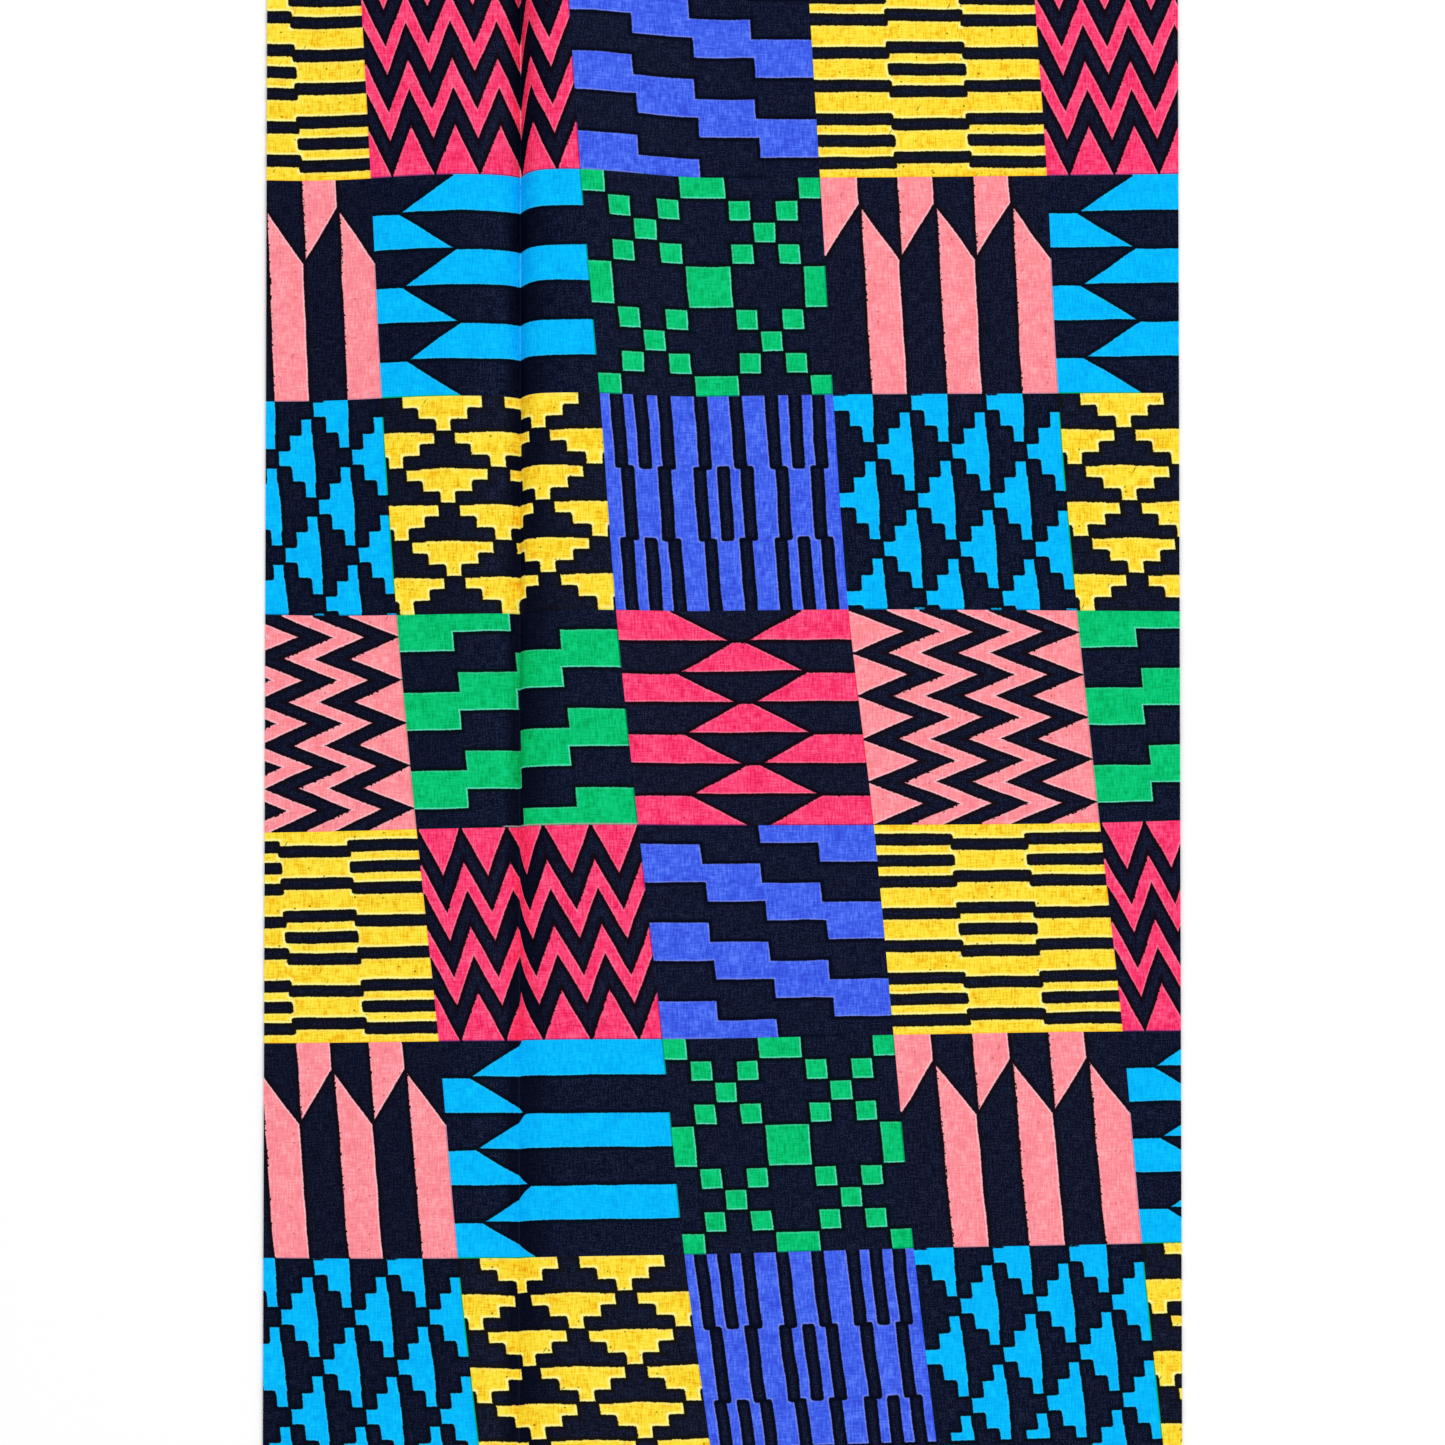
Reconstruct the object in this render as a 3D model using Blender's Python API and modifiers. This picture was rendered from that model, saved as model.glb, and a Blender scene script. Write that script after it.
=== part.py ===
"""A cut length of printed cotton cloth lying on a table.

The cloth is flat but for one pressed fold line that runs along it. On either side of that line the cloth
lifts off the table in a long low rise, steep on the right of the line and gentle on its left. The rises are
highest at the back edge and almost gone at the front edge.

Metres, +Z up. The origin is under the middle of the cloth, on the table. +X is to the right, and +Y runs
along the cloth towards its back edge.
"""

import math

import bmesh
import bpy

MM = 0.001

# The cut length
CLOTH_WIDTH = 299 * MM
CLOTH_LENGTH = 518 * MM
CLOTH_THICKNESS = 1.0 * MM

# The pressed fold line, measured from the left edge
FOLD_FROM_LEFT = 83.3 * MM

# How the cloth stands beside the fold line: the distance over which it climbs, where its crest is, and
# how far from the line it is back on the table
LEFT_CLIMB, LEFT_CREST, LEFT_REACH = 8.0 * MM, 20 * MM, 76 * MM
RIGHT_CLIMB, RIGHT_CREST, RIGHT_REACH = 3.0 * MM, 12 * MM, 64 * MM

# Heights in millimetres above the table, at distances from the back edge:
# distance, left crest, fold line, right crest
FOLD_STATIONS = (
    (0, 7.0, 1.0, 9.8),
    (72, 6.4, 0.9, 9.0),
    (148, 4.6, 0.8, 6.4),
    (187, 3.2, 0.5, 4.8),
    (224, 2.0, 0.3, 3.6),
    (298, 1.0, 0.1, 1.8),
    (373, 0.8, 0.1, 1.2),
    (447, 0.8, 0.1, 1.0),
    (518, 0.6, 0.1, 0.8),
)

# The grid of faces: strips on the left and the right of the fold line, and rows along the cloth. The strips
# widen away from the line, by these powers of the distance.
LEFT_STRIPS, LEFT_WIDENING = 12, 1.6
RIGHT_STRIPS, RIGHT_WIDENING = 16, 1.8
ROWS = 24

COTTON_NAVY = (0.012, 0.014, 0.032, 1.0)
COTTON_ROUGHNESS = 0.85


def heights_at(from_back):
    """Left crest, fold line and right crest heights, eased between the two stations on either side."""
    for near, far in zip(FOLD_STATIONS, FOLD_STATIONS[1:]):
        if from_back <= far[0] * MM:
            break
    share = (from_back / MM - near[0]) / (far[0] - near[0])
    return tuple((a + (b - a) * share) * MM for a, b in zip(near[1:], far[1:]))


def rise(distance, climb, crest, reach, valley, top):
    """Height of the cloth at a distance from the fold line, on one side of it."""
    if distance >= reach:
        return 0.0
    height = valley + (top - valley) * (1 - math.exp(-distance / climb))
    if distance <= crest:
        return height
    return height * 0.5 * (1 + math.cos(math.pi * (distance - crest) / (reach - crest)))


def cloth_height(from_left, from_back):
    """Height of the cloth's underside above the table."""
    left_top, valley, right_top = heights_at(from_back)
    distance = from_left - FOLD_FROM_LEFT
    if distance < 0:
        return rise(-distance, LEFT_CLIMB, LEFT_CREST, LEFT_REACH, valley, left_top)
    return rise(distance, RIGHT_CLIMB, RIGHT_CREST, RIGHT_REACH, valley, right_top)


def strip_edge(index):
    """Distance from the left edge of the edge between two strips, counted from the fold line."""
    if index < 0:
        return FOLD_FROM_LEFT * (1 - (-index / LEFT_STRIPS) ** LEFT_WIDENING)
    right_width = CLOTH_WIDTH - FOLD_FROM_LEFT
    return FOLD_FROM_LEFT + right_width * (index / RIGHT_STRIPS) ** RIGHT_WIDENING


def cotton_material():
    """Printed cotton, dark where most of the dye lies."""
    material = bpy.data.materials.new("printed_cotton")
    material.use_nodes = True
    shader = material.node_tree.nodes["Principled BSDF"]
    shader.inputs["Base Color"].default_value = COTTON_NAVY
    shader.inputs["Roughness"].default_value = COTTON_ROUGHNESS
    shader.inputs["Metallic"].default_value = 0.0
    return material


def cloth_object():
    """The cloth: a grid laid to the fold's heights, and thickened upwards from its underside."""
    strips = LEFT_STRIPS + RIGHT_STRIPS
    sheet = bmesh.new()
    bmesh.ops.create_grid(sheet, x_segments=strips, y_segments=ROWS, size=0.5)
    for vertex in sheet.verts:
        column = round((vertex.co.x + 0.5) * strips) - LEFT_STRIPS
        from_left = strip_edge(column)
        from_back = (0.5 - vertex.co.y) * CLOTH_LENGTH
        vertex.co.x = from_left - CLOTH_WIDTH / 2
        vertex.co.y = CLOTH_LENGTH / 2 - from_back
        vertex.co.z = cloth_height(from_left, from_back)
    mesh = bpy.data.meshes.new("wax_print_cloth")
    sheet.to_mesh(mesh)
    sheet.free()
    cloth = bpy.data.objects.new("wax_print_cloth", mesh)
    mesh.materials.append(cotton_material())
    wall = cloth.modifiers.new("thickness", "SOLIDIFY")
    wall.thickness = CLOTH_THICKNESS
    wall.offset = 1.0
    wall.use_even_offset = True
    mesh.shade_smooth()
    return cloth


for old in list(bpy.data.objects):
    bpy.data.objects.remove(old, do_unlink=True)

parts = bpy.data.collections.new("wax_print_cloth")
bpy.context.scene.collection.children.link(parts)
parts.objects.link(cloth_object())
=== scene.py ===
"""A cut length of wax-printed cotton on a pale table, seen from above and a little in front.

Metres, +Z up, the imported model's own frame: the origin is under the middle of the cloth, and the cloth's
back edge is at +Y. Lengths along the cloth are given in millimetres from its left edge (across) and from its
back edge (down).
"""

import math
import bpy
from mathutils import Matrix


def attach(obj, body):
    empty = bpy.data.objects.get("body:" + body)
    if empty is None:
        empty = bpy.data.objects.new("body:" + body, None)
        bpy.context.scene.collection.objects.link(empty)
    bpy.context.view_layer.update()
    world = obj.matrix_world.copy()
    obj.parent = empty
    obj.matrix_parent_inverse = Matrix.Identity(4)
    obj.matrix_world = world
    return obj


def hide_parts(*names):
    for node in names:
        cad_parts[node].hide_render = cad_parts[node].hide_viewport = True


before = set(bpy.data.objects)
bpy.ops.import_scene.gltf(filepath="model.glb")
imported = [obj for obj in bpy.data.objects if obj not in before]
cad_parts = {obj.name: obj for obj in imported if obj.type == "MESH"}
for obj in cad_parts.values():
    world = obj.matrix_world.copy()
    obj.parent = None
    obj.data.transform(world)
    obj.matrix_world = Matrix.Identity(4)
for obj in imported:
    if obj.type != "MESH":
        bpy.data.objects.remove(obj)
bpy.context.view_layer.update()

from types import SimpleNamespace

import bmesh
import bpy
from mathutils import Vector

MM = 0.001


# The cloth's lie

# A length of thin printed cotton, pressed in half along a line and opened out again. It lies flat but for
# that line, beside which it springs off the table: steeply on the right, and more gently on the left.

CLOTH_WIDTH = 299.0
CLOTH_LENGTH = 518.0
CLOTH_THICKNESS = 0.35
LIES_ABOVE_TABLE = 0.2
FOLD_ACROSS = 83.3

# Millimetres from the fold line to the crest beside it, and to where the cloth lies flat again
LEFT_CREST, LEFT_REACH = 20.0, 76.0
RIGHT_CREST, RIGHT_REACH = 12.0, 64.0

# down, height of the left crest, of the fold line and of the right crest, the distance from the fold line
# over which the cloth climbs on the left and on the right, the length of cloth pinched up in the crease, and
# how far the crests lean to the left
FOLD_SHAPES = (
    (0, 7.0, 1.0, 9.8, 8.0, 2.8, 0.0, 1.2),
    (72, 6.4, 0.9, 9.0, 8.0, 3.0, 0.0, 1.4),
    (148, 4.6, 0.8, 6.4, 6.0, 2.6, 0.3, 1.5),
    (187, 3.2, 0.5, 4.8, 5.0, 1.6, 0.8, 1.5),
    (224, 2.0, 0.3, 3.6, 5.0, 1.4, 1.4, 1.4),
    (298, 1.0, 0.1, 1.8, 5.0, 1.4, 2.0, 1.1),
    (373, 0.8, 0.1, 1.2, 5.0, 2.0, 2.0, 0.8),
    (447, 0.8, 0.1, 1.0, 5.0, 2.0, 1.6, 0.5),
    (518, 0.6, 0.1, 0.8, 5.0, 2.0, 1.0, 0.2),
)
PINCH_REACH = 1.2

# Cloth laid by hand is never quite flat: the height of its slight waves, and the millimetres across the
# cloth and down it in which each of the two turns by a radian
WAVE_HEIGHT = 0.4
FIRST_WAVE_ACROSS, FIRST_WAVE_DOWN = 31, 83
SECOND_WAVE_ACROSS, SECOND_WAVE_DOWN = 71, 47

# How many patches of the print lie across and down the cloth, whole or cut off, after how many of them the
# print repeats, and which column of them the fold line runs through
PATCH_COLUMNS, PATCH_ROWS = 5, 7
REPEAT_COLUMNS, REPEAT_ROWS = 3, 4
FOLD_COLUMN = 1

# The print's patches lean and bow against the cut edges. Millimetres across of the lines between its columns,
# the first and last of which run outside the cloth: the row line, then the six column lines
COLUMN_LINES = (
    (0, -42.2, 30.2, 98.0, 177.1, 251.2, 327.4),
    (1, -36.5, 34.2, 103.0, 181.5, 255.9, 329.3),
    (2, -34.4, 38.0, 109.3, 185.7, 259.5, 334.7),
    (3, -29.3, 43.0, 114.7, 190.7, 265.5, 340.1),
    (4, -19.5, 49.6, 122.0, 198.9, 272.7, 345.3),
    (5, -14.0, 57.0, 130.0, 205.3, 280.1, 351.3),
    (6, -9.0, 63.4, 137.1, 211.8, 286.2, 361.0),
    (7, -1.6, 71.6, 146.9, 220.1, 293.4, 370.0),
)

# Millimetres down of the lines between its rows: the column line, then the eight row lines
ROW_LINES = (
    (0, -4.8, 72.1, 150.3, 223.8, 300.6, 373.4, 447.5, 523.7),
    (1, -2.6, 73.3, 150.0, 225.1, 299.4, 373.0, 448.1, 523.8),
    (2, -4.1, 72.0, 149.2, 223.8, 297.9, 372.0, 446.5, 522.7),
    (3, -4.2, 71.9, 147.8, 222.7, 297.6, 370.4, 444.3, 520.5),
    (4, -3.5, 71.1, 147.3, 223.1, 296.9, 369.2, 442.6, 517.4),
    (5, -3.9, 70.1, 147.0, 223.8, 294.3, 369.0, 440.7, 517.8),
)

# The share of the second column of patches that lies left of the fold line, at each row line
FOLD_PLACES = (
    (0, 0.723),
    (1, 0.680),
    (2, 0.616),
    (3, 0.536),
    (4, 0.454),
    (5, 0.359),
    (6, 0.265),
    (7, 0.150),
)

# Strips of faces from line to line across the cloth, how much they narrow towards the fold line, and which
# of these spans starts at the fold line
STRIPS = (14, 26, 26, 20, 16, 12)
NARROWING = (1.0, 1.6, 1.8, 1.0, 1.0, 1.0)
FOLD_SPAN = 2
FACES_DOWN_A_PATCH = 30

# The grid's strip that starts at each of the cloth's lines, and the same without the fold line
SPAN_STARTS = [sum(STRIPS[:n]) for n in range(len(STRIPS) + 1)]
COLUMN_STARTS = SPAN_STARTS[:FOLD_SPAN] + SPAN_STARTS[FOLD_SPAN + 1 :]

# How often a point's places across and down are worked out from each other before they are at rest
SETTLING_ROUNDS = 3


def between(table, place):
    """The columns of a table at a place along its first column, on a smooth curve through its rows."""
    last = len(table) - 1
    i = 0
    while i < last - 1 and table[i + 1][0] < place:
        i += 1
    before, here, after, beyond = (table[min(max(j, 0), last)] for j in (i - 1, i, i + 1, i + 2))
    span = after[0] - here[0]
    t = (place - here[0]) / span
    values = []
    for column in range(1, len(here)):
        slope_here = (after[column] - before[column]) / (after[0] - before[0]) * span
        slope_after = (beyond[column] - here[column]) / (beyond[0] - here[0]) * span
        values.append(
            (1 + 2 * t) * (1 - t) ** 2 * here[column]
            + t * (1 - t) ** 2 * slope_here
            + t * t * (3 - 2 * t) * after[column]
            + t * t * (t - 1) * slope_after
        )
    return values


def rise(distance, valley, top, climb, crest, reach):
    """Height of the cloth at a distance from the fold line, on one side of it."""
    if distance >= reach:
        return 0.0
    height = valley + (top - valley) * (1 - math.exp(-distance / climb))
    if distance > crest:
        height *= 0.5 * (1 + math.cos(math.pi * (distance - crest) / (reach - crest)))
    return height


def cloth_height(across, down):
    """Height of the cloth's face above the table."""
    left_top, valley, right_top, left_climb, right_climb = (max(h, 0) for h in between(FOLD_SHAPES, down)[:5])
    distance = across - FOLD_ACROSS
    if distance < 0:
        height = rise(-distance, valley, left_top, left_climb, LEFT_CREST, LEFT_REACH)
    else:
        height = rise(distance, valley, right_top, right_climb, RIGHT_CREST, RIGHT_REACH)
    first_wave = math.sin(across / FIRST_WAVE_ACROSS + down / FIRST_WAVE_DOWN + 1)
    second_wave = math.sin(down / SECOND_WAVE_DOWN - across / SECOND_WAVE_ACROSS)
    waves = 0.5 + 0.25 * first_wave + 0.25 * second_wave
    return height + CLOTH_THICKNESS + LIES_ABOVE_TABLE + WAVE_HEIGHT * waves


def patch_column(i):
    """The column of patches that the grid's strip number i lies in."""
    return max(n for n in range(PATCH_COLUMNS) if COLUMN_STARTS[n] <= i)


def place_across(i, row):
    """Millimetres across of the points in line i of the grid, at a place down the print, in patches."""
    _, first, second, third, fourth, _ = between(COLUMN_LINES, row)
    lines = (0.0, first, FOLD_ACROSS, second, third, fourth, CLOTH_WIDTH)
    span = max(n for n in range(len(STRIPS)) if SPAN_STARTS[n] <= i)
    share = (i - SPAN_STARTS[span]) / STRIPS[span]
    if span < FOLD_SPAN:
        share = 1 - (1 - share) ** NARROWING[span]
    else:
        share = share ** NARROWING[span]
    return lines[span] + (lines[span + 1] - lines[span]) * share


def grid_point(i, j):
    """Millimetres across and down of one of the grid's points, and its place down the print, in patches."""
    column = patch_column(i)
    row = min(j // FACES_DOWN_A_PATCH, PATCH_ROWS - 1)
    share = j / FACES_DOWN_A_PATCH - row
    print_across = column + 0.5
    for _ in range(SETTLING_ROUNDS):
        downs = between(ROW_LINES, print_across)
        above, below = downs[row], downs[row + 1]
        down = max(above, 0.0) + (min(below, CLOTH_LENGTH) - max(above, 0.0)) * share
        print_down = row + (down - above) / (below - above)
        across = place_across(i, print_down)
        lines = between(COLUMN_LINES, print_down)
        print_across = column + (across - lines[column]) / (lines[column + 1] - lines[column])
    return across, down, print_down


grid_columns = sum(STRIPS)
grid_rows = PATCH_ROWS * FACES_DOWN_A_PATCH
points = []
for j in range(grid_rows + 1):
    line = [grid_point(i, j) for i in range(grid_columns + 1)]
    points.append([(across, down, cloth_height(across, down), row) for across, down, row in line])


def hidden(across, down):
    """Length of cloth out of sight to the left of a place, in the crease or under a leaning crest."""
    left_climb, right_climb, pinch, lean = between(FOLD_SHAPES, down)[3:]
    distance = across - FOLD_ACROSS
    if distance < 0:
        return rise(-distance, 0.0, lean, left_climb, LEFT_CREST, LEFT_REACH)
    leaning = rise(distance, 0.0, lean, right_climb, RIGHT_CREST, RIGHT_REACH)
    return leaning + pinch * (1 - math.exp(-distance / PINCH_REACH))


# The length of cloth from the left edge to each point
lengths = []
for line in points:
    run = [0.0]
    for (x0, y0, z0, _), (x1, y1, z1, _) in zip(line, line[1:]):
        run.append(run[-1] + math.hypot(x1 - x0, z1 - z0) + hidden(x1, y1) - hidden(x0, y0))
    lengths.append(run)


def share_across(i, j, column):
    """How far across its patch a grid point lies, from 0 at the patch's left line to 1 at its right."""
    run = lengths[j]
    row = points[j][i][3]
    if column == FOLD_COLUMN:
        (fold_share,) = between(FOLD_PLACES, row)
        first, fold, second = (run[SPAN_STARTS[FOLD_SPAN + n]] for n in (-1, 0, 1))
        if run[i] <= fold:
            return fold_share * (run[i] - first) / (fold - first)
        return 1 - (1 - fold_share) * (second - run[i]) / (second - fold)
    lines = between(COLUMN_LINES, row)
    starts = [lines[0]] + [run[n] for n in COLUMN_STARTS[1:-1]] + [run[-1] + lines[-1] - CLOTH_WIDTH]
    return (run[i] - starts[column]) / (starts[column + 1] - starts[column])


sheet = bmesh.new()
bmesh.ops.create_grid(sheet, x_segments=grid_columns, y_segments=grid_rows, size=0.5)
print_map = sheet.loops.layers.uv.new("print")
cloth_map = sheet.loops.layers.uv.new("cloth")
place_of = {}
for vertex in sheet.verts:
    i = round((vertex.co.x + 0.5) * grid_columns)
    j = round((0.5 - vertex.co.y) * grid_rows)
    place_of[vertex] = i, j
    across, down, height, _ = points[j][i]
    vertex.co = (
        (across - CLOTH_WIDTH / 2) * MM,
        (CLOTH_LENGTH / 2 - down) * MM,
        height * MM,
    )
for face in sheet.faces:
    corners = [place_of[v] for v in face.verts]
    i, j = min(c[0] for c in corners), min(c[1] for c in corners)
    column = patch_column(i)
    row = j // FACES_DOWN_A_PATCH
    face.material_index = row % REPEAT_ROWS * REPEAT_COLUMNS + column % REPEAT_COLUMNS
    face.smooth = True
    for loop in face.loops:
        i, j = place_of[loop.vert]
        loop[print_map].uv = share_across(i, j, column), points[j][i][3] - row
        loop[cloth_map].uv = lengths[j][i] * MM, points[j][i][1] * MM
for edge in sheet.edges:
    edge.smooth = not edge.is_boundary
cloth_mesh = bpy.data.meshes.new("wax_print_sheet")
sheet.to_mesh(cloth_mesh)
sheet.free()
cloth = bpy.data.objects.new("wax_print_sheet", cloth_mesh)
bpy.context.scene.collection.objects.link(cloth)
body = cloth.modifiers.new("thickness", "SOLIDIFY")
body.thickness = CLOTH_THICKNESS * MM
body.offset = -1.0


# The cloth's print

# Resist-dyed cotton: a patchwork of seven traditional geometric motifs, in bright dyes on navy. Each motif
# is a distance in millimetres to the nearest edge of its dark shapes, above 0 in the bright dye. p and q, the
# places across its patch and down it, are shares of the patch, as its sizes are unless said otherwise.


def linear(hex_colour):
    """An sRGB hex colour as linear RGBA."""
    channels = [int(hex_colour[n : n + 2], 16) / 255 for n in (1, 3, 5)]
    return [c / 12.92 if c <= 0.04045 else ((c + 0.055) / 1.055) ** 2.4 for c in channels] + [1.0]


def add_node(tree, kind, inputs=(), **settings):
    """Adds a shader node with its settings. inputs maps its sockets to numbers, colours or other outputs."""
    node = tree.nodes.new("ShaderNode" + kind)
    for name, value in settings.items():
        setattr(node, name, value)
    for socket, value in dict(inputs).items():
        if isinstance(value, Field):
            value = value.output
        if isinstance(value, bpy.types.NodeSocket):
            tree.links.new(value, node.inputs[socket])
        else:
            node.inputs[socket].default_value = value
    return node


class Field:
    """A number that varies over the cloth: a node's output, which arithmetic builds on with more nodes."""

    def __init__(self, tree, output):
        self.tree, self.output = tree, output

    def maths(self, operation, *others):
        """What one of Blender's operations makes of this and up to two more fields or numbers."""
        inputs = dict(enumerate((self,) + others))
        return Field(self.tree, add_node(self.tree, "Math", inputs, operation=operation).outputs[0])

    def __add__(self, other):
        return self.maths("ADD", other)

    def __sub__(self, other):
        return self.maths("SUBTRACT", other)

    def __rsub__(self, other):
        return self.maths("MULTIPLY_ADD", -1.0, other)

    def __mul__(self, other):
        return self.maths("MULTIPLY", other)

    def __truediv__(self, other):
        return self.maths("DIVIDE", other)

    def __abs__(self):
        return self.maths("ABSOLUTE")

    def least(self, *others):
        """The least of this and the others."""
        found = self
        for other in others:
            found = found.maths("MINIMUM", other)
        return found

    def most(self, *others):
        """The greatest of this and the others."""
        found = self
        for other in others:
            found = found.maths("MAXIMUM", other)
        return found

    def fraction(self):
        """What is left above the whole number below."""
        return self.maths("FRACT")

    def zigzag(self):
        """1 at whole numbers and 0 half-way between them, with straight lines from one to the next."""
        return abs(self.fraction() * 2 - 1)

    def stripes(self):
        """Signed distance, in periods, from the edges of stripes that fill the first half of each period."""
        return 0.25 - abs((self + 0.25).fraction() - 0.5)

    def ramp(self, low, high):
        """0 below low and 1 above high, eased between them."""
        inputs = {"Value": self, "From Min": low, "From Max": high}
        made = add_node(self.tree, "MapRange", inputs, interpolation_type="SMOOTHSTEP")
        return Field(self.tree, made.outputs[0])


# A patch's size, and how softly the corners of its shapes run together, in millimetres
PATCH_WIDTH = 74.6
PATCH_HEIGHT = 75.1
CORNER_ROUNDING = 1.8

# The bars' centres, measured from the middle of the patch, in its outer blocks and in its middle block, and
# how many millimetres each runs on into the next block
OUTER_BARS = (0.076, 0.23, 0.3305, 0.4315)
MIDDLE_BARS = (0.0, 0.102, 0.254, 0.4075)
BAR_WIDTH = 0.055
BAR_OVERRUN = 0.5


def bars(p, q):
    """Thin bars in three blocks across, the middle block's set between those of the outer two."""
    from_middle = abs(p - 0.5)
    from_centre = abs(q - 0.5)
    dark = None
    for centres, side in ((OUTER_BARS, 1), (MIDDLE_BARS, -1)):
        nearest = None
        for centre in centres:
            away = abs(from_centre - centre)
            nearest = away if nearest is None else nearest.least(away)
        beside = (1 / 6 - from_middle) * (side * PATCH_WIDTH) - BAR_OVERRUN
        block = ((nearest - BAR_WIDTH / 2) * PATCH_HEIGHT).maths("SMOOTH_MAX", beside, CORNER_ROUNDING)
        dark = block if dark is None else dark.least(block)
    return dark


# Distances to a slanted edge are first taken straight down or across the patch. What lies square to the edge
# is a share of that, called square below.


def chevrons(p, q):
    """Three dark zigzag bands of five teeth, the lowest with its points on the patch's edge."""
    teeth, tooth_height, square = 5, 0.236, 0.381
    pitch, width, gap = 0.305, 0.1625, 0.1425
    up = 1 - q - (p * teeth).zigzag() * tooth_height
    up = up.most(-gap / 2).least(2 * pitch + width + gap / 2)
    from_band = abs(((up - (width - pitch) / 2) / pitch).fraction() - 0.5)
    return (from_band * pitch - width / 2) * (square * PATCH_HEIGHT)


def staircase(p, q):
    """Stripes in four blocks across, each block's set a step above those of the last."""
    blocks, step, period, first_stripe = 4, 0.0911, 0.367, 0.3585
    block = p * blocks
    own = block.maths("FLOOR")
    in_block = block - own
    nearer = (in_block.maths("GREATER_THAN", 0.5) * 2 - 1 + own).most(0.0).least(blocks - 1.0)
    beside = in_block.least(1 - in_block) * (PATCH_WIDTH / blocks)
    here = ((q + own * step - first_stripe) / period).stripes() * (period * PATCH_HEIGHT)
    there = ((q + nearer * step - first_stripe) / period).stripes() * (period * PATCH_HEIGHT)
    sign = here.maths("SIGN")
    return abs(here).least(beside.most(sign * there)) * sign


# The lanes of arrows and the stripes of diamonds that lie along a patch's edge run on across it, so that no
# thin line of the next one shows
EDGE_MARGIN = 0.03


def checked(first, second):
    """The edges of a chequerwork of two sets of shapes, each given by its signed distance."""
    return abs(first).least(abs(second)) * (first * second).maths("SIGN")


def arrows(p, q):
    """Three pairs of lanes across, light and dark, which change over along a zigzag near one end.

    The dark lanes are wider than the light ones, by twice dark_grows_by in millimetres.
    """
    pairs, tip_height, first_tip, square = 3, 0.255, 0.123, 0.54
    dark_grows_by = 0.35
    lanes = (p.most(EDGE_MARGIN).least(1 - EDGE_MARGIN) * pairs).stripes() * (PATCH_WIDTH / pairs)
    line = ((p * pairs).zigzag() * tip_height + first_tip - q) * (square * PATCH_HEIGHT)
    return checked(lanes, line) - dark_grows_by


def diamonds(p, q):
    """Seven stripes down, which change over along a column of diamonds."""
    pairs, middle, half_neck, point, square = 3.5, 0.509, 0.029, 0.251, 0.5
    rows = (q.most(EDGE_MARGIN).least(1 - EDGE_MARGIN) * pairs).stripes() * (PATCH_HEIGHT / pairs)
    edge = (q * pairs).zigzag() * point + half_neck
    side = (abs(p - middle) - edge) * (square * PATCH_WIDTH)
    return checked(rows, side)


def pyramids(p, q, shifts, period, half_widths, depths):
    """Rows of stepped pyramids on their points, each row set between the last."""
    repeats, lowest = 3, 0.98
    q = q.least(lowest)
    light = None
    for row, shift in enumerate(shifts):
        across = abs(((p - shift) / period + 0.5).fraction() - 0.5) * (period * PATCH_WIDTH)
        down = (((q - row / (2 * repeats)) * repeats + 0.25).fraction() - 0.25) * (PATCH_HEIGHT / repeats)
        for half_width, depth in zip(half_widths, depths):
            step = (half_width * PATCH_WIDTH - across).least(depth * PATCH_HEIGHT - down, down)
            light = step if light is None else light.maths("SMOOTH_MAX", step, CORNER_ROUNDING)
    return light


def checkers(p, q):
    """Small squares in crossing diagonals, on a field of ten by ten, and larger shapes between them.

    half_square and larger_from are in squares of the field.
    """
    squares, half_square, larger_from = 10, 0.459, 1.548
    across = abs(abs(p - 0.5) * squares - squares / 4)
    down = abs(abs(q - 0.5) * squares - squares / 4)
    middle = half_square - across.most(down)
    diagonal = half_square - abs(across - 1).most(abs(down - 1))
    larger = across.least(down) - larger_from
    return middle.most(diagonal, larger) * (PATCH_WIDTH / squares)


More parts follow.
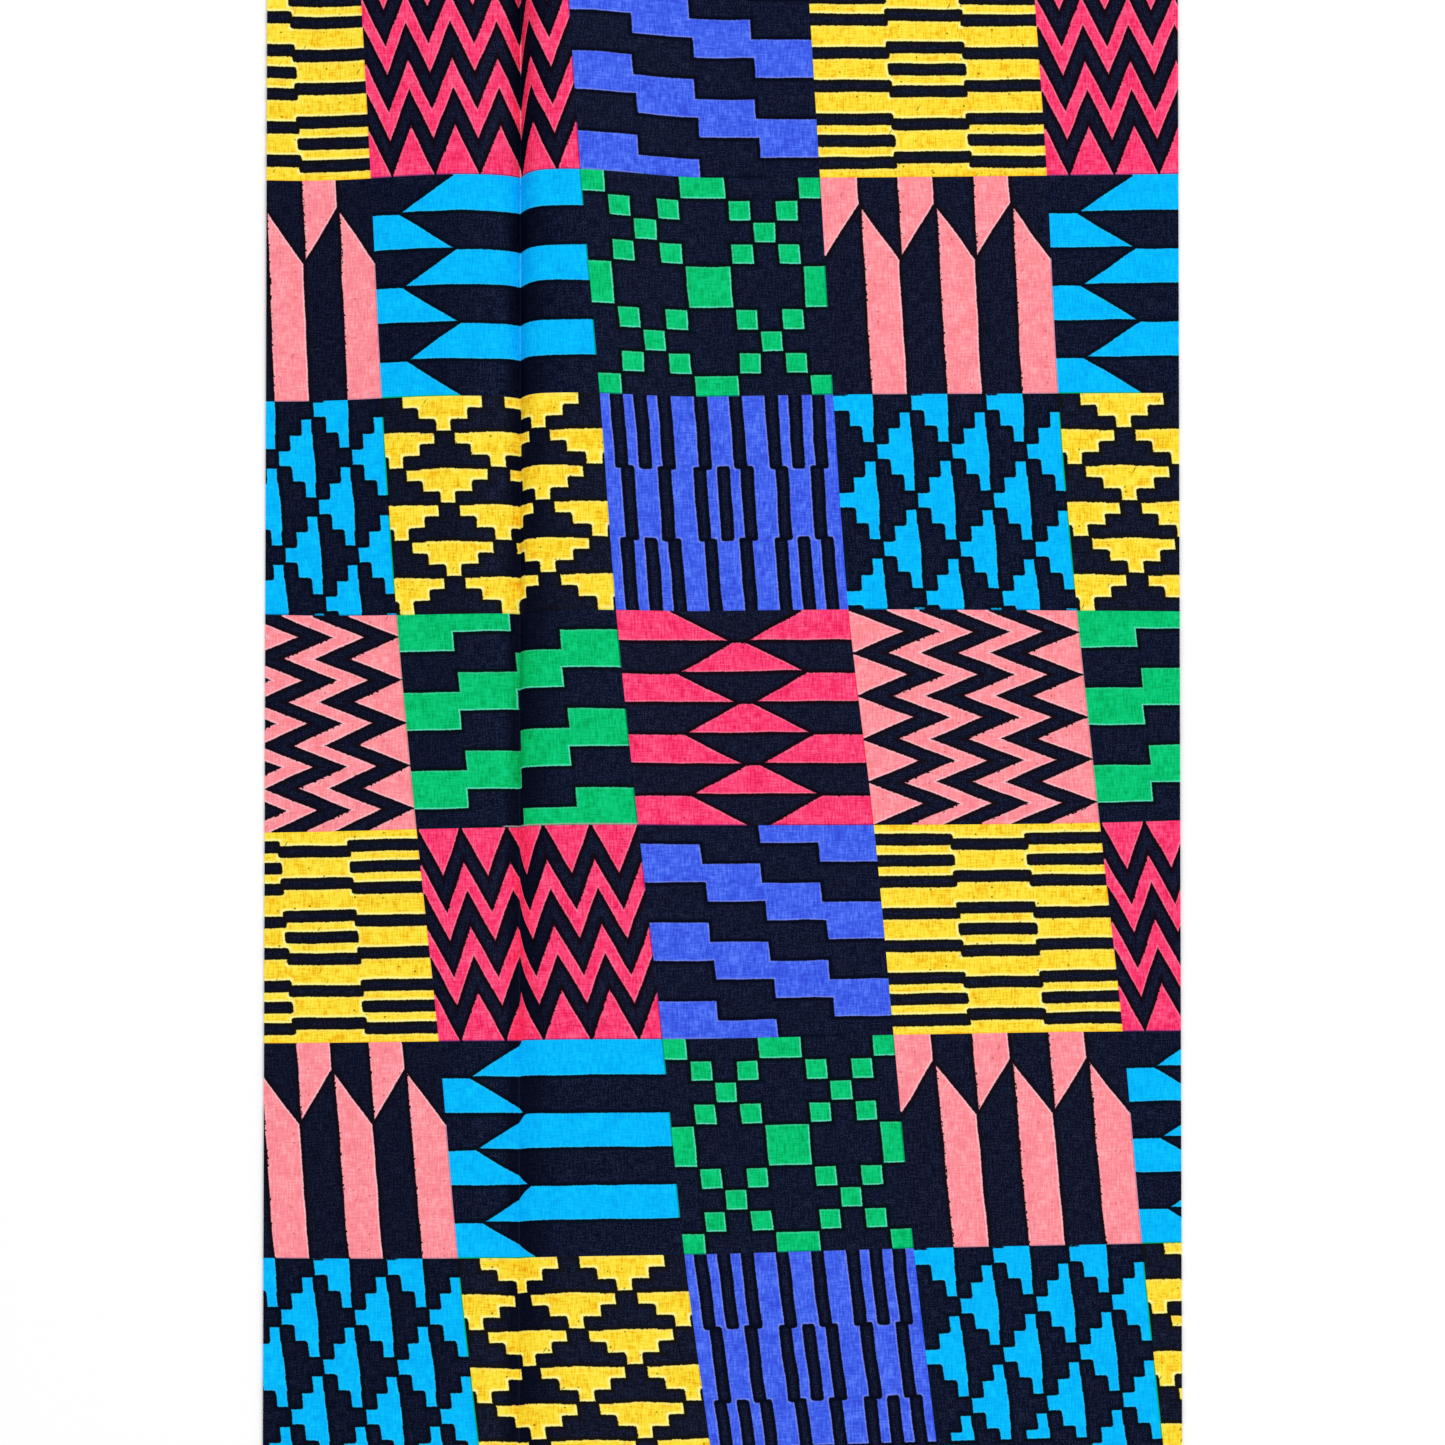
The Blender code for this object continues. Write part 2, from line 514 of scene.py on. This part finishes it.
# The dyes: the main colour, its deeper and its lighter mottling, its paler edge, its flecks, and the navy
# that is dyed over it. Then the width of the pale edge in millimetres, and how strongly each of these shows:
# the pale edge, hairs of navy across the dye's edges, flecks, the overlap with a neighbour's dye, and the
# painted shade in the crease
DYES = {
    "yellow": {
        "main": "#FCDF34", "deep": "#F2B410", "light": "#FFEC50",
        "pale": "#FFF690", "fleck": "#7A5A10", "navy": "#070A1A",
        "pale_width": 1.10, "pale_edge": 1.00, "hairs": 0.20,
        "flecks": 0.80, "overlap": 0.30, "crease": 0.45,
    },
    "pink": {
        "main": "#FC3F75", "deep": "#EC2059", "light": "#FF608A",
        "pale": "#FFB0C0", "fleck": "#8E1038", "navy": "#080A1F",
        "pale_width": 0.60, "pale_edge": 0.30, "hairs": 0.35,
        "flecks": 0.60, "overlap": 0.70, "crease": 0.45,
    },
    "salmon": {
        "main": "#FE9099", "deep": "#F4808A", "light": "#FFA9B0",
        "pale": "#FFD2DC", "fleck": "#A8303E", "navy": "#06091E",
        "pale_width": 0.70, "pale_edge": 0.60, "hairs": 0.60,
        "flecks": 0.50, "overlap": 0.40, "crease": 0.30,
    },
    "blue": {
        "main": "#01B9FC", "deep": "#00A9F5", "light": "#08C6FF",
        "pale": "#50DAFF", "fleck": "#0A8BD6", "navy": "#020820",
        "pale_width": 0.50, "pale_edge": 0.20, "hairs": 0.00,
        "flecks": 0.30, "overlap": 0.90, "crease": 0.15,
    },
    "violet": {
        "main": "#4062EB", "deep": "#344CDA", "light": "#5A7CFC",
        "pale": "#A4B0F6", "fleck": "#3A4CC0", "navy": "#050A23",
        "pale_width": 0.60, "pale_edge": 0.35, "hairs": 0.00,
        "flecks": 0.30, "overlap": 0.20, "crease": 0.30,
    },
    "green": {
        "main": "#03C271", "deep": "#00A858", "light": "#0ED080",
        "pale": "#88FFF8", "fleck": "#07914F", "navy": "#040B21",
        "pale_width": 0.60, "pale_edge": 0.46, "hairs": 0.00,
        "flecks": 0.30, "overlap": 0.70, "crease": 0.40,
    },
}
for look in DYES.values():
    for part in ("main", "deep", "light", "pale", "fleck", "navy"):
        look[part] = linear(look[part])
NAVY_EDGE = linear("#02040D")
# Painted shade: the colour the navy is darkened towards in the crease
NAVY_PAINTED_SHADE = linear("#000212")
# A painted glint on the navy's paler threads
THREAD_GLINT = linear("#232A45")
BARE_COTTON = linear("#A79F9A")

# A plain dark box at the cloth's front edge: millimetres across and down, the slope of its upper side, and
# the patches that it lies in
BOX_LEFT, BOX_RIGHT, BOX_TOP = 172.5, 269.6, 509.5
BOX_SLOPE = 0.03
BOXED = ("violet_bars", "blue_pyramids")

YELLOW_PYRAMIDS = {
    "shifts": (0.2725, 0.0457),
    "period": 0.4557,
    "half_widths": (0.1815, 0.1116, 0.034),
    "depths": (0.0521, 0.1035, 0.158),
}
BLUE_PYRAMIDS = {
    "shifts": (0.2653, 0.0396),
    "period": 0.4524,
    "half_widths": (0.1827, 0.1082, 0.0351),
    "depths": (0.0482, 0.1025, 0.1573),
}

# The patches, row by row and left to right: the bright dye, the motif, and the millimetres by which the navy
# has spread past the motif's edges
PATCHES = (
    ("yellow_bars", "yellow", lambda a, b: bars(a, b), 0.10),
    ("pink_chevrons", "pink", lambda a, b: chevrons(a, b), 0.20),
    ("violet_staircase", "violet", lambda a, b: staircase(1 - a, b), 0.32),
    ("salmon_arrows", "salmon", lambda a, b: arrows(a, b), 0.17),
    ("blue_arrows", "blue", lambda a, b: arrows(1 - b, a), 0.06),
    ("green_checkers", "green", lambda a, b: checkers(a, b), 0.14),
    ("blue_pyramids", "blue", lambda a, b: pyramids(b, 1 - a, **BLUE_PYRAMIDS), 0.19),
    ("yellow_pyramids", "yellow", lambda a, b: pyramids(a, b, **YELLOW_PYRAMIDS), 0.18),
    ("violet_bars", "violet", lambda a, b: bars(b, a), 0.13),
    ("salmon_chevrons", "salmon", lambda a, b: chevrons(b, a), 0.07),
    ("green_staircase", "green", lambda a, b: staircase(a, b), 0.32),
    ("pink_diamonds", "pink", lambda a, b: diamonds(a, b), 0.48),
)

# How fine the cotton's unevenness is: features to a millimetre, and how much finer detail they have. It moves
# the print, mottles the dye, frays its edges and roughens the navy.
UNEVENNESS = {
    "wander": (0.07, 1),
    "clouds": (0.15, 1),
    "smudges": (0.48, 2),
    "hairs": (1.0, 0),
    "ragged": (1.3, 2),
    "grain": (2.4, 1),
}

# The threads show as slubs: how many lie side by side in a millimetre, and how many end to end, and their
# relief in millimetres. The cotton's own are about 0.3 mm wide. They are drawn 0.5 mm wide, as coarse as they
# need to be to show.
THREADS_BESIDE, THREADS_ALONG, THREAD_DETAIL = 1.9, 0.26, 2
THREAD_RELIEF, RELIEF_STRENGTH = 0.2, 0.5

# How much each kind of unevenness counts in how the dye takes
UPTAKE = {"clouds": 0.16, "smudges": 0.15, "warp": 0.39, "weft": 0.30}

# The uptake over which a dye turns deeper or lighter or the paler line along the fold shows, and the
# unevenness over which a hair of navy starts or a painted glint shows on its threads. Both run from 0 to
# 1, and are near 0.5 over most of the cloth.
DEEP_FROM, LIGHT_FROM, PALE_LINE_FROM = (0.49, 0.62), (0.38, 0.5), (0.47, 0.67)
HAIR_FROM, GLINT_FROM = (0.62, 0.74), (0.42, 0.78)
THREADS_IN_GLINT = 0.5

# The print's wander, as shares of a patch across and down. Its centre is above 0.5, which moves the print by
# a tenth of a millimetre towards the cloth's right and front. A motif is read no nearer to the edge of its
# patch than the margin.
WANDER_ACROSS, WANDER_DOWN, WANDER_CENTRE = 0.010, 0.009, 0.65
PATCH_MARGIN = 0.005

# The print's edges, in millimetres: how ragged they are, how long a hair is, half the width over which they
# turn, and how far back the motif is read again to find which way an edge faces
RAGGEDNESS, HAIR_LENGTH, HALF_EDGE, LOOK_BACK = 0.4, 0.7, 0.15, 0.5

# How far an edge of the navy faces right or down, over which hairs start to grow on it, and over which the
# pale edge beside it weakens, by this share at most. The pale edge fades from this share of its width.
HAIRS_FACING, PALE_FACING, PALE_WEAKENS_BY = (0.1, 0.5), (0.0, 0.5), 0.7
PALE_FADES_FROM = 0.3

# Flecks of two kinds: how far they are turned, the millimetres each way that hold one of them, and its size
# as a share of that
ROUND_FLECKS = 0.0, (5.0, 5.0), 0.08
LONG_FLECKS = 0.5, (4.0, 22.0), 0.05

# The thin line at a patch's right side and foot where two dyes overlap: the millimetres from the side over
# which it ends, and how ragged it is
OVERLAP_TO, OVERLAP_RAGGEDNESS = (0.2, 0.6), 0.2

# Millimetres inside the navy over which it lightens from its dark edge, and how much of the bright dye the
# dark edge takes on
NAVY_EDGE_BAND, EDGE_TINT = (-1.8, -0.7), 0.006

# Painted sheen and painted shade on the navy by the fold: how brightly it is painted left of the fold,
# and how that climbs, falls and comes back across it: from and to which millimetres from the fold line,
# and by how much
PAINTED_SHEEN_AT_LEFT = 0.7
PAINTED_SHEEN_CHANGES = ((-26, -8, 0.3), (-6.5, -2, 0.8), (1, 16, 0.72))

# Painted shade on bright dye by the fold: millimetres from the fold line over which it deepens, then fades
PAINTED_SHADE_DEEPENS, PAINTED_SHADE_FADES = (-5, -1), (0, 9)

# A thin paler line along the fold line: the millimetres from the fold line over which it ends, how strongly
# it shows on the navy and on bright dye, and the millimetres down the cloth over which it ends on bright dye
PALE_LINE_TO, PALE_LINE_DOWN_TO = (0.1, 0.35), (110, 170)
PALE_LINE_ON_NAVY, PALE_LINE_ON_DYE = 0.3, 0.95

# The patch whose print stops short of the next one's, how much bare cotton shows there, from how far across
# the patch, as a share of it, and the millimetres from the patch's foot over which the gap starts and ends
GAP_IN, GAP_STRENGTH, GAP_ACROSS = "green_staircase", 0.8, (0.38, 0.4)
GAP_STARTS, GAP_ENDS, GAP_RAGGEDNESS = (0.1, 0.3), (0.5, 0.8), 0.3


def scattered(tree, place, turn, cell, size):
    """1 in small scattered specks and 0 around them: one or none to each cell of millimetres."""
    soft = 0.2 * size
    inputs = {"Vector": place, "Rotation": (0, 0, turn), "Scale": (cell[0] * MM, cell[1] * MM, 1)}
    cells = add_node(tree, "Mapping", inputs, vector_type="TEXTURE").outputs[0]
    speck = add_node(tree, "TexVoronoi", {"Vector": cells, "Scale": 1.0}, voronoi_dimensions="2D")
    chance = Field(tree, add_node(tree, "SeparateColor", {0: speck.outputs["Color"]}).outputs[0])
    inside = (chance - 0.5) * (2 * size) - Field(tree, speck.outputs["Distance"])
    return inside.ramp(-soft, soft)


def layered(tree, colour, *layers):
    """A colour with others laid over it in turn, each by a share that varies over the cloth."""
    for share, over in layers:
        colour = add_node(tree, "Mix", {0: share, 6: colour, 7: over}, data_type="RGBA").outputs[2]
    return colour


def cotton_fields(tree):
    """What a patch's colours are worked out from: places on the cloth, its threads, and how dye takes."""
    printed = add_node(tree, "SeparateXYZ", {0: add_node(tree, "UVMap", uv_map="print").outputs[0]})
    lying = add_node(tree, "SeparateXYZ", {0: add_node(tree, "TexCoord").outputs["Object"]})
    woven = add_node(tree, "UVMap", uv_map="cloth").outputs[0]
    noises = {}
    for use, (features, detail) in UNEVENNESS.items():
        inputs = {"Vector": woven, "Scale": features / MM, "Detail": detail}
        noises[use] = add_node(tree, "TexNoise", inputs, noise_dimensions="2D").outputs
    for use, (right, front) in (
        ("warp", (THREADS_BESIDE, THREADS_ALONG)),
        ("weft", (THREADS_ALONG, THREADS_BESIDE)),
    ):
        stretched = add_node(tree, "Mapping", {"Vector": woven, "Scale": (right / MM, front / MM, 1)})
        inputs = {"Vector": stretched.outputs[0], "Scale": 1.0, "Detail": THREAD_DETAIL}
        noises[use] = add_node(tree, "TexNoise", inputs, noise_dimensions="2D").outputs
    values = {use: Field(tree, outputs[0]) for use, outputs in noises.items()}
    clouds, smudges, warp, weft = (values[use] * share for use, share in UPTAKE.items())
    across = Field(tree, lying.outputs[0]) / MM + CLOTH_WIDTH / 2
    return SimpleNamespace(
        woven=woven,
        print_across=Field(tree, printed.outputs[0]),
        print_down=Field(tree, printed.outputs[1]),
        across=across,
        down=CLOTH_LENGTH / 2 - Field(tree, lying.outputs[1]) / MM,
        from_fold=across - FOLD_ACROSS,
        wander=add_node(tree, "SeparateColor", {0: noises["wander"]["Color"]}),
        ragged=values["ragged"] - 0.5,
        hairs=values["hairs"].ramp(*HAIR_FROM),
        grain=values["grain"],
        threads=values["warp"] + values["weft"] - 1,
        uptake=clouds + smudges + warp + weft,
    )


def print_edge(tree, cotton, name, motif, spread, hair_strength):
    """Millimetres into the bright dye from the navy's edge, and which way that edge faces.

    The second is above 0 on the right and lower edges of the navy, where dye creeps along the threads.
    """
    a = cotton.print_across + (Field(tree, cotton.wander.outputs[0]) - WANDER_CENTRE) * WANDER_ACROSS
    b = cotton.print_down + (Field(tree, cotton.wander.outputs[1]) - WANDER_CENTRE) * WANDER_DOWN
    a, b = (place.most(PATCH_MARGIN).least(1 - PATCH_MARGIN) for place in (a, b))
    to_edge = motif(a, b)
    if name in BOXED:
        from_right = BOX_RIGHT - cotton.across
        box = (cotton.down - from_right * BOX_SLOPE - BOX_TOP).least(cotton.across - BOX_LEFT, from_right)
        to_edge = to_edge.least(box * -1)
    look_back = LOOK_BACK / PATCH_WIDTH
    facing = to_edge - motif(a - look_back, b - look_back)
    crept = cotton.hairs * facing.ramp(*HAIRS_FACING) * (HAIR_LENGTH * hair_strength)
    return to_edge - spread + cotton.ragged * RAGGEDNESS - crept, facing


def bright_dye(tree, cotton, look, edge, facing, beside, below):
    """The bright dye: mottled, paler along its edges, flecked, and with painted shade in the crease.

    A thin line of it overlaps the dyes of the patches beside it and below it.
    """
    near_edge = 1 - edge.ramp(PALE_FADES_FROM * look["pale_width"], look["pale_width"])
    pale = near_edge * (1 - facing.ramp(*PALE_FACING) * PALE_WEAKENS_BY)
    flecks = scattered(tree, cotton.woven, *ROUND_FLECKS).most(scattered(tree, cotton.woven, *LONG_FLECKS))
    overlaps = []
    to_side = (1 - cotton.print_across) * PATCH_WIDTH
    to_foot = (1 - cotton.print_down) * PATCH_HEIGHT
    for distance, other in ((to_side, beside), (to_foot, below)):
        line = 1 - (distance + cotton.ragged * OVERLAP_RAGGEDNESS).ramp(*OVERLAP_TO)
        both = [x * y for x, y in zip(look["main"], DYES[other]["main"])]
        overlaps.append((line * look["overlap"], both))
    colour = layered(
        tree,
        look["main"],
        (cotton.uptake.ramp(*DEEP_FROM), look["deep"]),
        (1 - cotton.uptake.ramp(*LIGHT_FROM), look["light"]),
        (pale * look["pale_edge"], look["pale"]),
        (flecks * look["flecks"], look["fleck"]),
        *overlaps,
    )
    # Painted shade in the crease: the dye multiplied by itself, most just left of the fold line
    crease = cotton.from_fold.ramp(*PAINTED_SHADE_DEEPENS) * (1 - cotton.from_fold.ramp(*PAINTED_SHADE_FADES))
    inputs = {0: crease * look["crease"], 6: colour, 7: colour}
    return add_node(tree, "Mix", inputs, data_type="RGBA", blend_type="MULTIPLY").outputs[2]


def navy_dye(tree, cotton, look, edge):
    """The navy: darkest at its edges, painted glints on its threads, painted sheen and shade by the fold."""
    inside = 1 - edge.ramp(*NAVY_EDGE_BAND)
    # Painted glints on the navy's paler threads
    glint = (cotton.grain + cotton.threads * THREADS_IN_GLINT).ramp(*GLINT_FROM)
    colour = layered(
        tree,
        [n + EDGE_TINT * c for n, c in zip(NAVY_EDGE, look["main"])],
        (inside, look["navy"]),
        (glint * inside, THREAD_GLINT),
    )
    # Painted sheen and shade across the fold: the navy over its painted shade, by a share that varies
    climbs, falls, returns = (cotton.from_fold.ramp(start, end) * by for start, end, by in PAINTED_SHEEN_CHANGES)
    return layered(tree, NAVY_PAINTED_SHADE, (climbs - falls + returns + PAINTED_SHEEN_AT_LEFT, colour))


def printed_cotton(name, dye, motif, spread, beside, below):
    """Plain-woven cotton with one motif of the print, beside and above patches in two other dyes.

    Its dry, matt fibres give the dyes next to no gloss. spread is how far the navy has spread past the
    motif's edges, in millimetres.
    """
    material = bpy.data.materials.new(name)
    material.use_nodes = True
    tree = material.node_tree
    shader = tree.nodes["Principled BSDF"]
    shader.inputs["Roughness"].default_value = 0.5
    shader.inputs["Specular IOR Level"].default_value = 0.02

    look = DYES[dye]
    cotton = cotton_fields(tree)
    edge, facing = print_edge(tree, cotton, name, motif, spread, look["hairs"])
    bright = edge.ramp(-HALF_EDGE, HALF_EDGE)
    dyed = bright_dye(tree, cotton, look, edge, facing, beside, below)
    colour = layered(tree, navy_dye(tree, cotton, look, edge), (bright, dyed))

    # On bright dye the thin paler line along the fold shows only towards the back edge
    on_dye = (1 - cotton.down.ramp(*PALE_LINE_DOWN_TO)) * PALE_LINE_ON_DYE
    pale_line_strength = bright * (on_dye - PALE_LINE_ON_NAVY) + PALE_LINE_ON_NAVY
    on_line = 1 - abs(cotton.from_fold).ramp(*PALE_LINE_TO)
    pale_line = on_line * (1 - cotton.uptake.ramp(*PALE_LINE_FROM)) * pale_line_strength
    colour = layered(tree, colour, (pale_line, layered(tree, THREAD_GLINT, (bright, look["pale"]))))

    if name == GAP_IN:
        to_foot = (1 - cotton.print_down) * PATCH_HEIGHT + cotton.ragged * GAP_RAGGEDNESS
        bare = to_foot.ramp(*GAP_STARTS) - to_foot.ramp(*GAP_ENDS)
        shows = bare * cotton.print_across.ramp(*GAP_ACROSS) * GAP_STRENGTH
        colour = layered(tree, colour, (shows, BARE_COTTON))
    tree.links.new(colour, shader.inputs["Base Color"])

    relief = {"Height": cotton.threads, "Strength": RELIEF_STRENGTH, "Distance": THREAD_RELIEF * MM}
    tree.links.new(add_node(tree, "Bump", relief).outputs[0], shader.inputs["Normal"])
    return material


for place, (name, dye, motif, spread) in enumerate(PATCHES):
    row, column = divmod(place, REPEAT_COLUMNS)
    beside = PATCHES[row * REPEAT_COLUMNS + (column + 1) % REPEAT_COLUMNS][1]
    below = PATCHES[(row + 1) % REPEAT_ROWS * REPEAT_COLUMNS + column][1]
    cloth_mesh.materials.append(printed_cotton(name, dye, motif, spread, beside, below))

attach(cloth, "root")
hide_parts("wax_print_cloth")
flat_width = max(run[-1] for run in lengths)
flat_width * MM


# The table and the light

# A white table in a white room, with a soft light behind it and to the right. The table reaches 3 m each way
# from its middle, and the light is 2 m square.

table = bmesh.new()
bmesh.ops.create_grid(table, x_segments=1, y_segments=1, size=3.0)
table_mesh = bpy.data.meshes.new("table_top")
table.to_mesh(table_mesh)
table.free()
table_top = bpy.data.objects.new("table_top", table_mesh)
bpy.context.scene.collection.objects.link(table_top)
table_white = bpy.data.materials.new("table_white")
table_white.use_nodes = True
table_white.node_tree.nodes["Principled BSDF"].inputs["Base Color"].default_value = linear("#FFFFFF")
table_white.node_tree.nodes["Principled BSDF"].inputs["Roughness"].default_value = 0.8
table_mesh.materials.append(table_white)

room = bpy.data.worlds.new("white_room")
room.use_nodes = True
room.node_tree.nodes["Background"].inputs["Color"].default_value = linear("#FFFFFF")
room.node_tree.nodes["Background"].inputs["Strength"].default_value = 0.85
bpy.context.scene.world = room

softbox = bpy.data.lights.new("softbox", "AREA")
softbox.shape = "RECTANGLE"
softbox.size, softbox.size_y = 2.0, 2.0
softbox.energy = 26.0
softbox_object = bpy.data.objects.new("softbox", softbox)
softbox_object.location = (1.5, 1.3, 2.7)
softbox_object.rotation_euler = (-softbox_object.location).to_track_quat("-Z", "Y").to_euler()
softbox_object.visible_camera = False
bpy.context.scene.collection.objects.link(softbox_object)


# The camera

# High above the cloth, tilted 20 degrees off the vertical towards its front edge, with a very long lens. It
# looks at a place a little in front of the cloth's middle, and its picture is 472 mm wide there.

PICTURE_PIXELS, PIXELS_IN_A_MM = 1445, 3.06
SEEN_WIDTH = PICTURE_PIXELS / PIXELS_IN_A_MM * MM
LOOKS_AT = Vector((0.0, -2.75 * MM, 0.0))
LENS, SENSOR_WIDTH = 1400.0, 36.0
ELEVATION = math.radians(70)

away = SEEN_WIDTH * LENS / SENSOR_WIDTH
camera_data = bpy.data.cameras.new("camera")
camera_data.lens = LENS
camera_data.clip_start, camera_data.clip_end = 1.0, 60.0
camera = bpy.data.objects.new("camera", camera_data)
camera.location = LOOKS_AT + away * Vector((0, -math.cos(ELEVATION), math.sin(ELEVATION)))
camera.rotation_euler = (LOOKS_AT - camera.location).to_track_quat("-Z", "Y").to_euler()
bpy.context.scene.collection.objects.link(camera)
bpy.context.scene.camera = camera
bpy.context.scene.view_settings.view_transform = "Standard"
